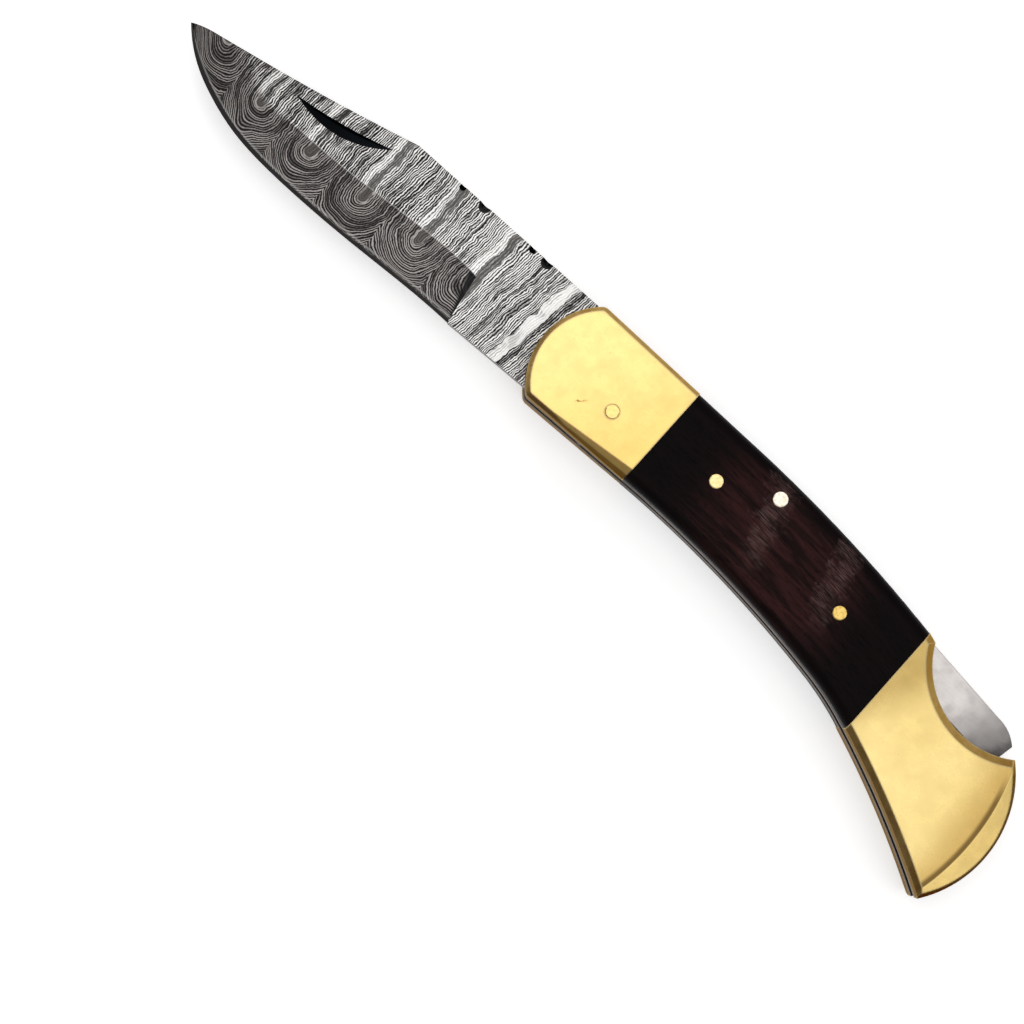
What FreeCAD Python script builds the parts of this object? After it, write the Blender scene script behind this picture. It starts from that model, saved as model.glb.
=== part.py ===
import FreeCAD, Part
import math
import os

import Sketcher

# A folding knife with a rocker lock in its back, drawn open and lying on its far side.
# The origin is on the blade's pivot axis, in the plane that the knife lies on.
# +X runs to the butt, +Y to the back of the handle, +Z to the side with the nail nick.

# Driving dimensions, in millimetres and degrees.
SIZES = {
    # The stack of sheets, from one outer face to the other.
    "cover_thickness": 4.6,
    "liner_thickness": 1.4,
    "channel_width": 3.2,
    "blade_thickness": 3.0,
    "bar_thickness": 3.0,
    "spring_width": 2.8,
    # Lengths of the handle's pieces along X.
    "front_reach": 19.3,
    "front_corner_reach": 14.1,
    "front_joint_reach": 10.1,
    "scale_length": 62.3,
    "rear_bolster_length": 36.05,
    # The back of the handle: a straight front, a long arc and the lip before the thumb notch.
    "front_rise": 2.5,
    "front_corner_round": 1.7,
    "back_height": 14.1,
    "back_bend_lead": 11.9,
    "back_taper": 0.5,
    "back_fall": 4.25,
    "back_bulge": 1.05,
    "notch_lip_length": 2.1,
    "notch_lip_fall": 0.7,
    # The thumb notch and the round butt.
    "notch_floor_inset": 18.95,
    "notch_floor_depth": 1.05,
    "butt_top_inset": 7.95,
    "butt_top_height": 2.3,
    "butt_middle_depth": 15.6,
    "butt_corner_inset": 4.55,
    "butt_corner_depth": 29.6,
    # The belly: a straight front and three arcs.
    "belly_depth": 8.45,
    "belly_bend_lead": 3.9,
    "belly_bend_rise": 0.65,
    "belly_middle_lead": 12.4,
    "belly_front_fall": 3.7,
    "belly_front_bulge": 1.05,
    "belly_rear_fall": 3.32,
    "belly_rear_bulge": 0.33,
    "butt_belly_bulge": 0.75,
    # Edge breaks on the outer faces.
    "bolster_chamfer": 0.85,
    "belly_round": 2.4,
    "belly_round_length": 19.0,
    "notch_chamfer": 1.5,
    "belly_chamfer": 1.2,
    "butt_facet_width": 4.3,
    "butt_facet_depth": 1.2,
    "butt_facet_radius": 47.6,
    "butt_facet_drop": 16.5,
    "butt_break_width": 1.0,
    "butt_break_depth": 2.4,
    "scale_round": 2.4,
    # Pins: places from the joints between bolsters and scale, from the butt or from the spacer, and radii.
    "pivot_pin_radius": 1.35,
    "rocker_pin_lead": 24.5,
    "rocker_pin_height": 9.0,
    "rocker_pin_radius": 1.45,
    "front_scale_pin_lead": 13.2,
    "front_scale_pin_height": 3.4,
    "front_scale_pin_radius": 1.35,
    "rear_scale_pin_lead": 15.3,
    "rear_scale_pin_height": 0.5,
    "rear_scale_pin_radius": 1.35,
    "upper_spacer_pin_inset": 8.2,
    "upper_spacer_pin_drop": 2.1,
    "upper_spacer_pin_radius": 1.2,
    "lower_spacer_pin_inset": 6.3,
    "lower_spacer_pin_drop": 6.4,
    "lower_spacer_pin_radius": 1.2,
    "spring_pin_inset": 3.7,
    "spring_pin_drop": 2.1,
    "spring_pin_radius": 1.0,
    "pin_recess": 0.05,
    "hidden_pin_cover": 1.6,
    "fixed_clearance": 0.02,
    "running_clearance": 0.05,
    # The blade's outline. Its length follows from the butt that hides the tip of the closed blade.
    "closed_tip_margin": 0.68,
    "heel_reach": 34.0,
    "ricasso_depth": 6.6,
    "tip_height": 2.27,
    "tip_round_length": 4.2,
    "tip_round_rise": 1.43,
    "tip_round_bulge": 0.12,
    "clip_length": 48.0,
    "clip_bulge": 0.5,
    "spine_height": 14.0,
    "spine_fall": 0.2,
    "edge_depth": 8.93,
    "grind_height": 2.93,
    "edge_thickness": 0.6,
    "sharpened_thickness": 0.1,
    # The nail nick, cut by the rim of a wheel.
    "nick_inset": 34.7,
    "nick_height": 7.63,
    "nick_angle": 12.4,
    "nick_length": 21.2,
    "nick_width": 2.9,
    "nick_lean": 0.55,
    "nick_depth": 0.9,
    # Countersunk notches in the mark side's spine edge, a small and a large one in each pair.
    "front_small_notch_reach": 49.66,
    "front_large_notch_reach": 44.05,
    "rear_small_notch_reach": 31.8,
    "rear_large_notch_reach": 28.1,
    "small_notch_radius": 0.7,
    "small_notch_inset": 0.5,
    "large_notch_radius": 1.3,
    "large_notch_inset": 0.4,
    # The tang and the lock at its top.
    "closed_angle": 169.0,
    "tang_radius": 8.0,
    "stop_reach": 4.0,
    "tooth_reach": 0.7,
    "lock_notch_depth": 1.1,
    "closed_flat_depth": 1.2,
    "hook_gap": 0.06,
    "hook_height": 0.8,
    "stop_gap": 0.15,
    "tooth_gap": 0.3,
    # The lock bar behind its hook.
    "bar_inset": 0.25,
    "bar_relief_length": 8.6,
    "bar_slope_length": 5.0,
    "bar_front_web": 2.3,
    "bar_pin_web": 3.4,
    "bar_end_inset": 9.35,
    "bar_end_height": 4.2,
    "bar_round_length": 5.6,
    "bar_round_rise": 2.4,
    "bar_round_bulge": 0.6,
    "bar_tail_inset": 0.6,
    "bar_tail_fall": 3.0,
    "bar_heel_length": 3.5,
    "bar_heel_fall": 2.2,
    # The lock spring and the rear spacer.
    "spacer_length": 13.45,
    "spacer_top_depth": 5.9,
    "spacer_wall_gap": 1.0,
    "blade_clearance": 1.2,
    "spring_foot_length": 8.5,
    "spring_foot_depth": 1.8,
    "spring_foot_slope": 3.6,
    "spring_leaf_length": 16.5,
    "spring_root_thickness": 1.4,
    "spring_tip_thickness": 1.2,
    "spring_shoulder": 1.0,
    "spring_gap": 0.1,
    # Cuts run past the faces that they open by this much.
    "overrun": 2.0,
    "same_place": 0.0001,
}

# Stations along the cutting edge. The first two numbers place the edge, as shares of its length from
# the heel to the tip and of edge_depth. The last two place the grind line over it, as shares of the
# edge's length and of grind_height.
STATION_SHARES = (
    (0.000, 0.853, 0.032, 0.93),
    (0.166, 0.879, 0.167, 1.00),
    (0.329, 0.960, 0.329, 0.69),
    (0.492, 1.000, 0.492, 0.38),
    (0.625, 0.980, 0.627, 0.33),
    (0.733, 0.878, 0.742, 0.70),
    (0.840, 0.617, 0.861, 1.99),
    (0.948, 0.140, 0.985, 3.12),
)
TIP_GRIND_SHARES = (1.06, 3.5)
# The sharpened edge takes up this share of the main bevel.
SHARPENED_SHARE = 0.08
# A bevel's cutter runs past the bevel at both ends by this share of the bevel's width.
BEVEL_OVERRUN_SHARE = 0.15
# The depth of a spine notch, as a share of its radius.
NOTCH_DEPTH_SHARE = 1.2
# The crest of the front bolster's belly roll lies in from both of its faces by this share of its width.
CREST_SHARE = 0.37

doc = FreeCAD.newDocument("folding_knife")
sheet = doc.addObject("Spreadsheet::Sheet", "sizes")
for row, (alias, value) in enumerate(SIZES.items(), start=1):
    sheet.set(f"A{row}", alias)
    sheet.set(f"B{row}", str(value))
    sheet.setAlias(f"B{row}", alias)
doc.recompute()
size = sheet.get


# Helpers for sketches and features.

def at(x, y):
    return FreeCAD.Vector(x, y, 0)


def line(start, end):
    return Part.LineSegment(start, end)


def bulged(start, end, bulge):
    """An arc that stands off its chord by bulge, to the left of its direction."""
    chord = end - start
    normal = at(-chord.y, chord.x).normalize()
    return Part.Arc(start, (start + end) * 0.5 + normal * bulge, end)


def through(points, places):
    """A smooth curve that reaches each point at its place, so that two such curves run side by side."""
    curve = Part.BSplineCurve()
    curve.interpolate(Points=points, Parameters=places)
    return curve


def polygon(points):
    return [line(start, end) for start, end in zip(points, points[1:] + points[:1])]


def polar(radius, angle):
    return at(radius * math.cos(angle), radius * math.sin(angle))


def rectangle(x_low, x_high, y_low, y_high):
    return polygon([at(x_low, y_low), at(x_high, y_low), at(x_high, y_high), at(x_low, y_high)])


def new_body(label):
    body = doc.addObject("PartDesign::Body", label)
    body.Label = label
    return body


def add_sketch(body, name, edges, role="XY_Plane", offset=None):
    plane = next(feature for feature in body.Origin.OriginFeatures if feature.Role == role)
    sketch = body.newObject("Sketcher::SketchObject", name)
    sketch.AttachmentSupport = [(plane, "")]
    sketch.MapMode = "FlatFace"
    if offset:
        sketch.AttachmentOffset = offset
    sketch.addGeometry(edges, False)
    return sketch


def add_pad(body, edges, length):
    pad = body.newObject("PartDesign::Pad", "plate")
    pad.Profile = add_sketch(body, "outline", edges)
    pad.setExpression("Length", length)
    doc.recompute()
    return pad


def add_pocket(body, name, edges, height=0, upwards=True):
    """Cuts the outlines from this height right through what lies above it, or below it."""
    before = body.Shape.Volume
    offset = FreeCAD.Placement(FreeCAD.Vector(0, 0, height), FreeCAD.Rotation())
    pocket = body.newObject("PartDesign::Pocket", name)
    pocket.Profile = add_sketch(body, name + "_outline", edges, "XY_Plane", offset)
    pocket.Type = "ThroughAll"
    pocket.Reversed = upwards
    doc.recompute()
    if body.Shape.Volume >= before:
        raise RuntimeError(f"{name} cuts nothing from {body.Label}")
    return pocket


def drill(body, name, clearance, height=0, upwards=True):
    """A round hole for a pin, its radius bound to the pin's."""
    hole = Part.Circle(PIN_PLACES[name], FreeCAD.Vector(0, 0, 1), size(name + "_radius"))
    pocket = add_pocket(body, name + "_hole", [hole], height, upwards)
    sketch = pocket.Profile[0]
    sketch.addConstraint(Sketcher.Constraint("Radius", 0, size(name + "_radius")))
    sketch.setExpression("Constraints[0]", f"sizes.{name}_radius + sizes.{clearance}")
    doc.recompute()


def lift(body, height):
    body.setExpression("Placement.Base.z", height)
    doc.recompute()


def edges_at(feature, height, wanted):
    """Names of the edges that lie in the plane at this height and whose middle is wanted."""
    names = []
    for number, edge in enumerate(feature.Shape.Edges, start=1):
        box = edge.BoundBox
        off_plane = max(abs(box.ZMin - height), abs(box.ZMax - height))
        middle = edge.valueAt((edge.FirstParameter + edge.LastParameter) * 0.5)
        if off_plane < size("same_place") and wanted(middle):
            names.append(f"Edge{number}")
    return names


def add_chamfer(body, edge_names, width):
    base = body.Tip
    chamfer = body.newObject("PartDesign::Chamfer", "chamfer")
    chamfer.Base = (base, edge_names)
    chamfer.setExpression("Size", f"sizes.{width}")
    doc.recompute()


def add_fillet(body, edge_names, radius):
    base = body.Tip
    fillet = body.newObject("PartDesign::Fillet", "round")
    fillet.Base = (base, edge_names)
    fillet.setExpression("Radius", f"sizes.{radius}")
    doc.recompute()


def add_ruled_cut(body, name, sections):
    """Cuts away what lies between sketches of the same form."""
    loft = body.newObject("PartDesign::SubtractiveLoft", name)
    loft.Profile = sections[0]
    loft.Sections = sections[1:]
    loft.Ruled = True
    doc.recompute()


# Places that several pieces share.

front_joint = size("front_joint_reach")
rear_joint = front_joint + size("scale_length")
butt_end = rear_joint + size("rear_bolster_length")
back_front = at(-size("front_corner_reach"), size("back_height"))
back_bend = at(front_joint + size("back_bend_lead"), back_front.y - size("back_taper"))
back_rear = at(rear_joint, back_bend.y - size("back_fall"))
notch_front = back_rear + at(size("notch_lip_length"), -size("notch_lip_fall"))
notch_floor = at(butt_end - size("notch_floor_inset"), -size("notch_floor_depth"))
butt_top = at(butt_end - size("butt_top_inset"), size("butt_top_height"))
butt_middle = at(butt_end, -size("butt_middle_depth"))
butt_corner = at(butt_end - size("butt_corner_inset"), -size("butt_corner_depth"))
belly_front = at(-size("front_corner_reach"), -size("belly_depth"))
belly_bend = at(front_joint + size("belly_bend_lead"), belly_front.y + size("belly_bend_rise"))
belly_middle = at(rear_joint - size("belly_middle_lead"), belly_bend.y - size("belly_front_fall"))
belly_rear = at(rear_joint, belly_middle.y - size("belly_rear_fall"))
butt_arc = Part.Arc(butt_top, butt_middle, butt_corner).toShape().Curve

spacer_front = butt_end - size("spacer_length")
spacer_top = -size("spacer_top_depth")
bar_end = at(butt_end - size("bar_end_inset"), size("bar_end_height"))


def below_spacer_top(x, name):
    return at(x - size(name + "_inset"), spacer_top - size(name + "_drop"))


PIN_PLACES = {
    "pivot_pin": at(0, 0),
    "rocker_pin": at(front_joint + size("rocker_pin_lead"), size("rocker_pin_height")),
    "front_scale_pin": at(front_joint + size("front_scale_pin_lead"), size("front_scale_pin_height")),
    "rear_scale_pin": at(rear_joint - size("rear_scale_pin_lead"), size("rear_scale_pin_height")),
    "upper_spacer_pin": below_spacer_top(butt_end, "upper_spacer_pin"),
    "lower_spacer_pin": below_spacer_top(butt_end, "lower_spacer_pin"),
    "spring_pin": below_spacer_top(spacer_front, "spring_pin"),
}

HIDDEN_PINS = ("upper_spacer_pin", "lower_spacer_pin", "spring_pin")

blade_half = size("blade_thickness") / 2
channel_floor = "sizes.cover_thickness + sizes.liner_thickness"
closed = FreeCAD.Rotation(FreeCAD.Vector(0, 0, 1), size("closed_angle"))


def butt_distance():
    """How far the butt lies from the pivot, along the closed blade."""
    along = closed.multVec(at(-1, 0))
    middle = butt_arc.Center
    reach = along.dot(middle)
    return reach + math.sqrt(reach**2 - middle.dot(middle) + butt_arc.Radius**2)


blade_tip = at(size("closed_tip_margin") - butt_distance(), size("tip_height"))


def handle_outline():
    """The handle seen from the mark side, from the front of the back line round to the front."""
    return [
        line(back_front, back_bend),
        bulged(back_bend, back_rear, size("back_bulge")),
        line(back_rear, notch_front),
        Part.Arc(notch_front, notch_floor, butt_top),
        Part.Arc(butt_top, butt_middle, butt_corner),
        bulged(butt_corner, belly_rear, -size("butt_belly_bulge")),
        bulged(belly_rear, belly_middle, -size("belly_rear_bulge")),
        bulged(belly_middle, belly_bend, -size("belly_front_bulge")),
        line(belly_bend, belly_front),
        Part.Arc(belly_front, at(-size("front_reach"), size("front_rise")), back_front),
    ]


def outside(x_low, x_high):
    """Rectangles that cover all of the handle but the span from x_low to x_high."""
    past = size("overrun")
    top = size("back_height") + past
    bottom = -size("butt_corner_depth") - past
    spans = [(-size("front_reach") - past, x_low), (x_high, butt_end + past)]
    edges = []
    for start, end in spans:
        if start < end:
            edges += rectangle(start, end, bottom, top)
    return edges


# Liners: the two sheets that carry everything.

def round_front(body):
    """Rounds the upright edges at the two ends of the front's arc."""
    names = []
    for number, edge in enumerate(body.Tip.Shape.Edges, start=1):
        foot = edge.Vertexes[0].Point
        upright = edge.BoundBox.DiagonalLength - edge.BoundBox.ZLength < size("same_place")
        if upright and foot.x < -size("front_corner_reach") + size("same_place"):
            names.append(f"Edge{number}")
    add_fillet(body, names, "front_corner_round")


def make_liner(label, height):
    body = new_body(label)
    add_pad(body, handle_outline(), "sizes.liner_thickness")
    round_front(body)
    for pin in PIN_PLACES:
        drill(body, pin, "fixed_clearance")
    lift(body, height)
    return body


# Covers: bolsters and scales outside the liners. The outer face is the top of a left cover and the
# bottom of a right one.

def make_cover(label, x_low, x_high):
    body = new_body(label)
    add_pad(body, handle_outline(), "sizes.cover_thickness")
    add_pocket(body, "ends", outside(x_low, x_high))
    return body


def add_belly_round(body, outer, inward):
    """The roll of the front bolster's belly into its face, which widens until it meets the scale."""
    past = size("overrun")
    growth = (size("belly_round") - size("bolster_chamfer")) / size("belly_round_length")
    rise = (belly_bend.y - belly_front.y) / (belly_bend.x - belly_front.x)
    sections = []
    for x in (front_joint - size("belly_round_length"), front_joint + past):
        radius = size("belly_round") + (x - front_joint) * growth
        low = belly_front.y + (x - belly_front.x) * rise
        face = at(low + radius, outer)
        wall = at(low, outer + inward * radius)
        crest = at(low + radius * CREST_SHARE, outer + inward * radius * CREST_SHARE)
        high = outer - inward * past
        corners = [wall, at(low - past, wall.y), at(low - past, high), at(face.x, high), face, crest]
        offset = FreeCAD.Placement(FreeCAD.Vector(0, 0, x), FreeCAD.Rotation())
        sections.append(add_sketch(body, "round_section", polygon(corners), "YZ_Plane", offset))
    add_ruled_cut(body, "belly_round", sections)


def make_front_bolster(label, height, outer, inward):
    body = make_cover(label, -size("front_reach") - size("overrun"), front_joint)
    round_front(body)
    front = edges_at(body.Tip, outer, lambda middle: middle.x < front_joint - size("same_place"))
    add_chamfer(body, front, "bolster_chamfer")
    add_belly_round(body, outer, inward)
    drill(body, "pivot_pin", "fixed_clearance")
    lift(body, height)
    return body


def make_scale(label, height, outer):
    body = make_cover(label, front_joint, rear_joint)
    near = size("same_place")
    long_edges = edges_at(body.Tip, outer, lambda middle: front_joint + near < middle.x < rear_joint - near)
    add_fillet(body, long_edges, "scale_round")
    for pin in ("rocker_pin", "front_scale_pin", "rear_scale_pin"):
        drill(body, pin, "fixed_clearance")
    lift(body, height)
    return body


def add_butt_facet(body, outer, inward):
    """The bevel ground round the butt, from an arc on the outer face down to the rim."""
    past = size("overrun")
    slope = size("butt_facet_depth") / size("butt_facet_width")
    crease = size("butt_facet_radius")
    rim = crease + size("butt_facet_width")
    corners = [
        at(crease - past, outer - inward * slope * past),
        at(rim + past, outer + inward * (size("butt_facet_depth") + slope * past)),
        at(rim + past, outer - inward * slope * past),
    ]
    middle = FreeCAD.Vector(butt_end - rim, 0, size("butt_facet_drop"))
    offset = FreeCAD.Placement(middle, FreeCAD.Rotation())
    groove = body.newObject("PartDesign::Groove", "butt_facet")
    groove.Profile = add_sketch(body, "facet_section", polygon(corners), "XZ_Plane", offset)
    groove.ReferenceAxis = (groove.Profile[0], ["V_Axis"])
    doc.recompute()


def add_butt_break(body, outer):
    """The steep break of the butt's rim, narrow on the outer face and deep on the end."""
    rim = edges_at(body.Tip, outer, lambda middle: middle.x > butt_corner.x)
    add_chamfer(body, rim, "butt_break_width")
    bevel = body.Tip
    bevel.ChamferType = "Two distances"
    bevel.setExpression("Size2", "sizes.butt_break_depth")
    doc.recompute()
    inset = butt_end - size("butt_break_width")
    face = max(body.Shape.Faces, key=lambda face: face.Area if abs(face.BoundBox.ZMin - outer)
               + abs(face.BoundBox.ZMax - outer) < size("same_place") else 0)
    if abs(face.BoundBox.XMax - inset) > size("same_place"):
        bevel.FlipDirection = True
        doc.recompute()


def make_rear_bolster(label, height, outer, inward):
    body = make_cover(label, rear_joint, butt_end + size("overrun"))
    near = size("same_place")
    add_butt_break(body, outer)
    notch = edges_at(body.Tip, outer, lambda middle: middle.x > rear_joint + near
                     and middle.y > notch_floor.y - near)
    add_chamfer(body, notch, "notch_chamfer")
    belly = edges_at(body.Tip, outer, lambda middle: rear_joint + near < middle.x < butt_corner.x
                     and middle.y < belly_middle.y)
    add_chamfer(body, belly, "belly_chamfer")
    add_butt_facet(body, outer, inward)
    hole_end = outer + inward * size("hidden_pin_cover")
    for pin in HIDDEN_PINS:
        drill(body, pin, "fixed_clearance", hole_end, inward > 0)
    lift(body, height)
    return body


# Blade.

EDGE_PLACES = [shares[0] for shares in STATION_SHARES] + [1]


def edge_points():
    """Points of the cutting edge from the heel to the tip."""
    heel = size("heel_reach")
    length = -blade_tip.x - heel
    points = [at(-heel - shares[0] * length, -shares[1] * size("edge_depth")) for shares in STATION_SHARES]
    return points + [blade_tip]


def grind_points():
    """Points of the line where the flat turns into the main bevel, one for each point of the edge."""
    heel = size("heel_reach")
    length = -blade_tip.x - heel
    places = [shares[2:] for shares in STATION_SHARES] + [TIP_GRIND_SHARES]
    return [at(-heel - place * length, height * size("grind_height")) for place, height in places]


def blade_outline():
    round_end = blade_tip + at(size("tip_round_length"), size("tip_round_rise"))
    clip_end = at(blade_tip.x + size("clip_length"), size("spine_height") - size("spine_fall"))
    stop_top = at(-size("stop_reach"), size("spine_height"))
    floor = size("tang_radius") - size("lock_notch_depth")
    stop_foot = at(-size("stop_reach"), math.sqrt(floor**2 - size("stop_reach")**2))
    tooth_foot = at(size("tooth_reach"), math.sqrt(floor**2 - size("tooth_reach")**2))
    tang = size("tang_radius")
    tooth_angle = math.acos(size("tooth_reach") / tang)
    tooth_top = polar(tang, tooth_angle)
    hook_middle = (math.radians(90) + math.atan2(stop_foot.y, stop_foot.x)) * 0.5
    flat_angle = hook_middle - math.radians(size("closed_angle"))
    flat_half = math.acos(1 - size("closed_flat_depth") / tang)
    flat_rear = polar(tang, flat_angle + flat_half)
    flat_front = polar(tang, flat_angle - flat_half)
    foot_angle = -math.radians(180) + math.asin(size("ricasso_depth") / tang)
    tang_foot = polar(tang, foot_angle)
    edge = edge_points()
    return [
        bulged(blade_tip, round_end, size("tip_round_bulge")),
        bulged(round_end, clip_end, -size("clip_bulge")),
        line(clip_end, stop_top),
        line(stop_top, stop_foot),
        Part.Arc(stop_foot, polar(floor, (math.radians(90) + hook_middle) * 0.5), tooth_foot),
        line(tooth_foot, tooth_top),
        Part.Arc(tooth_top, polar(tang, (tooth_angle + flat_angle + flat_half) * 0.5), flat_rear),
        line(flat_rear, flat_front),
        Part.Arc(flat_front, polar(tang, (flat_angle - flat_half + foot_angle) * 0.5), tang_foot),
        line(tang_foot, edge[0]),
        through(edge, EDGE_PLACES),
    ]


def add_bevel(body, name, side, top, top_half, foot_half):
    """Cuts a bevel on one side of the blade, between a line above the edge and the edge itself."""
    edge = edge_points()
    past = size("overrun")
    low = -size("edge_depth") - past
    tip_x = blade_tip.x - past
    extra = BEVEL_OVERRUN_SHARE
    ends = ((edge, top, foot_half, top_half), (top, edge, top_half, foot_half))
    sections = []
    for start, end, start_half, end_half in ends:
        points = [last + (last - first) * extra for first, last in zip(start, end)]
        half = end_half + (end_half - start_half) * extra
        corners = [points[-1], at(tip_x, low), at(edge[0].x, low), points[0]]
        edges = [through(points, EDGE_PLACES)]
        edges += [line(first, last) for first, last in zip(corners, corners[1:])]
        level = FreeCAD.Vector(0, 0, blade_half + side * half)
        offset = FreeCAD.Placement(level, FreeCAD.Rotation())
        sections.append(add_sketch(body, name + "_section", edges, "XY_Plane", offset))
    add_ruled_cut(body, name, sections)


def add_bevels(body):
    edge_half = size("edge_thickness") / 2
    share = SHARPENED_SHARE
    grind = grind_points()
    sharpened = [low + (high - low) * share for low, high in zip(edge_points(), grind)]
    sharpened_half = edge_half + (blade_half - edge_half) * share
    thin_half = size("sharpened_thickness") / 2
    for side in (1, -1):
        add_bevel(body, "main_bevel", side, grind, blade_half, edge_half)
        add_bevel(body, "sharpened_bevel", side, sharpened, sharpened_half, thin_half)


def add_nick(body):
    """The nail nick: the rim of a leaning wheel with a steep and a sloping side."""
    half_length = size("nick_length") / 2
    depth = size("nick_depth")
    radius = (half_length**2 + depth**2) / (2 * depth)
    floor = size("blade_thickness") - depth
    rim = floor + 2 * depth
    wheel = polygon([at(0, floor), at(-2 * size("nick_lean"), rim), at(-2 * size("nick_width"), rim)])
    angle = FreeCAD.Rotation(FreeCAD.Vector(0, 1, 0), size("nick_angle"))
    place = FreeCAD.Vector(size("nick_height"), 0, blade_tip.x + size("nick_inset"))
    sketch = add_sketch(body, "nick_wheel", wheel, "YZ_Plane", FreeCAD.Placement(place, angle))
    axle = floor + radius
    sketch.addGeometry(line(at(0, axle), at(size("nick_width"), axle)), True)
    groove = body.newObject("PartDesign::Groove", "nail_nick")
    groove.Profile = sketch
    groove.ReferenceAxis = (sketch, ["Axis0"])
    doc.recompute()


def add_spine_notches(body):
    """Countersinks whose rims break through the spine."""
    for pair in ("front", "rear"):
        for kind in ("small", "large"):
            cone = body.newObject("PartDesign::SubtractiveCone", f"{pair}_{kind}_notch")
            depth = f"{NOTCH_DEPTH_SHARE} * sizes.{kind}_notch_radius"
            cone.Radius1 = 0
            cone.setExpression("Radius2", f"sizes.{kind}_notch_radius + sizes.overrun / {NOTCH_DEPTH_SHARE}")
            cone.setExpression("Height", f"{depth} + sizes.overrun")
            cone.setExpression("Placement.Base.x", f"-sizes.{pair}_{kind}_notch_reach")
            cone.setExpression("Placement.Base.y", f"sizes.spine_height - sizes.{kind}_notch_inset")
            cone.setExpression("Placement.Base.z", f"sizes.blade_thickness - {depth}")
            doc.recompute()


def make_blade():
    body = new_body("blade")
    add_pad(body, blade_outline(), "sizes.blade_thickness")
    add_bevels(body)
    add_nick(body)
    add_spine_notches(body)
    drill(body, "pivot_pin", "running_clearance")
    lift(body, channel_floor + " + (sizes.channel_width - sizes.blade_thickness) / 2")
    return body


# Lock bar, spring and rear spacer.

def bar_underside():
    """The lock bar's lower line behind the rocker pin: its front and rear ends."""
    pin = PIN_PLACES["rocker_pin"]
    front = at(pin.x, pin.y - size("bar_pin_web"))
    tail = bar_end - at(size("bar_tail_inset"), size("bar_tail_fall"))
    return front, tail - at(size("bar_heel_length"), size("bar_heel_fall"))


def bar_outline():
    drop = at(0, -size("bar_inset"))
    nose_x = size("stop_gap") - size("stop_reach")
    hook_radius = size("tang_radius") + size("hook_gap")
    front_foot = at(nose_x, math.sqrt(hook_radius**2 - nose_x**2))
    rear_x = size("tooth_reach") - size("tooth_gap")
    rear_foot = at(rear_x, math.sqrt(hook_radius**2 - rear_x**2))
    foot_angle = (math.atan2(front_foot.y, front_foot.x) + math.atan2(rear_foot.y, rear_foot.x)) * 0.5
    hook_root = rear_foot + at(0, size("hook_height"))
    relief_end = hook_root + at(size("bar_relief_length"), 0)
    pin = PIN_PLACES["rocker_pin"]
    slope_end = at(relief_end.x + size("bar_slope_length"), pin.y - size("bar_front_web"))
    underside_front, underside_rear = bar_underside()
    tail = bar_end - at(size("bar_tail_inset"), size("bar_tail_fall"))
    shoulder = bar_end + at(-size("bar_round_length"), size("bar_round_rise"))
    back_slope = size("back_taper") / (back_bend.x - back_front.x)
    nose_top = back_front + at(nose_x - back_front.x, (back_front.x - nose_x) * back_slope) + drop
    return [
        line(nose_top, back_bend + drop),
        bulged(back_bend + drop, back_rear + drop, size("back_bulge")),
        line(back_rear + drop, shoulder),
        bulged(shoulder, bar_end, size("bar_round_bulge")),
        line(bar_end, tail),
        line(tail, underside_rear),
        line(underside_rear, underside_front),
        line(underside_front, slope_end),
        line(slope_end, relief_end),
        line(relief_end, hook_root),
        line(hook_root, rear_foot),
        Part.Arc(rear_foot, polar(hook_radius, foot_angle), front_foot),
        line(front_foot, nose_top),
    ]


def make_lock_bar():
    body = new_body("lock_bar")
    add_pad(body, bar_outline(), "sizes.bar_thickness")
    drill(body, "rocker_pin", "running_clearance")
    lift(body, channel_floor + " + (sizes.channel_width - sizes.bar_thickness) / 2")
    return body


def spring_outline():
    """A foot seated against the spacer, and a leaf that rises from it to the lock bar."""
    rear = spacer_front
    foot_front = at(rear - size("spring_foot_length"), spacer_top)
    front, back = bar_underside()
    tip_x = foot_front.x - size("spring_leaf_length")
    touch = front + (back - front) * ((tip_x - front.x) / (back.x - front.x))
    tip_top = touch - at(0, size("spring_gap"))
    tip_low = tip_top - at(0, size("spring_tip_thickness"))
    root_low = foot_front - at(0, size("spring_root_thickness"))
    foot_low = foot_front - at(0, size("spring_foot_depth"))
    shoulder = foot_front + at(size("spring_shoulder"), 0)
    return [
        line(shoulder, at(rear, spacer_top)),
        line(at(rear, spacer_top), at(rear, foot_low.y - size("spring_foot_slope"))),
        line(at(rear, foot_low.y - size("spring_foot_slope")), foot_low),
        line(foot_low, root_low),
        line(root_low, tip_low),
        bulged(tip_low, tip_top, size("spring_tip_thickness") / 2),
        line(tip_top, shoulder),
    ]


def make_lock_spring():
    body = new_body("lock_spring")
    add_pad(body, spring_outline(), "sizes.spring_width")
    drill(body, "spring_pin", "fixed_clearance")
    lift(body, channel_floor + " + (sizes.channel_width - sizes.spring_width) / 2")
    return body


def closed_blade_space():
    """What the closing blade sweeps: above its edge when shut, and round the path of its tip."""
    clearance = size("blade_clearance")
    away = at(0, -clearance)
    edge = [closed.multVec(point + away) for point in edge_points()[:-1]]
    tip = closed.multVec(blade_tip - at(clearance, clearance))
    reach = tip.Length
    tip_angle = math.atan2(tip.y, tip.x)
    low_angle = math.atan2(butt_corner.y - size("overrun"), butt_corner.x - size("overrun"))
    low_rear = polar(reach, low_angle)
    low_front = at(edge[0].x, low_rear.y)
    return [
        through(edge + [tip], EDGE_PLACES),
        Part.Arc(tip, polar(reach, (tip_angle + low_angle) * 0.5), low_rear),
        line(low_rear, low_front),
        line(low_front, edge[0]),
    ]


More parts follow.
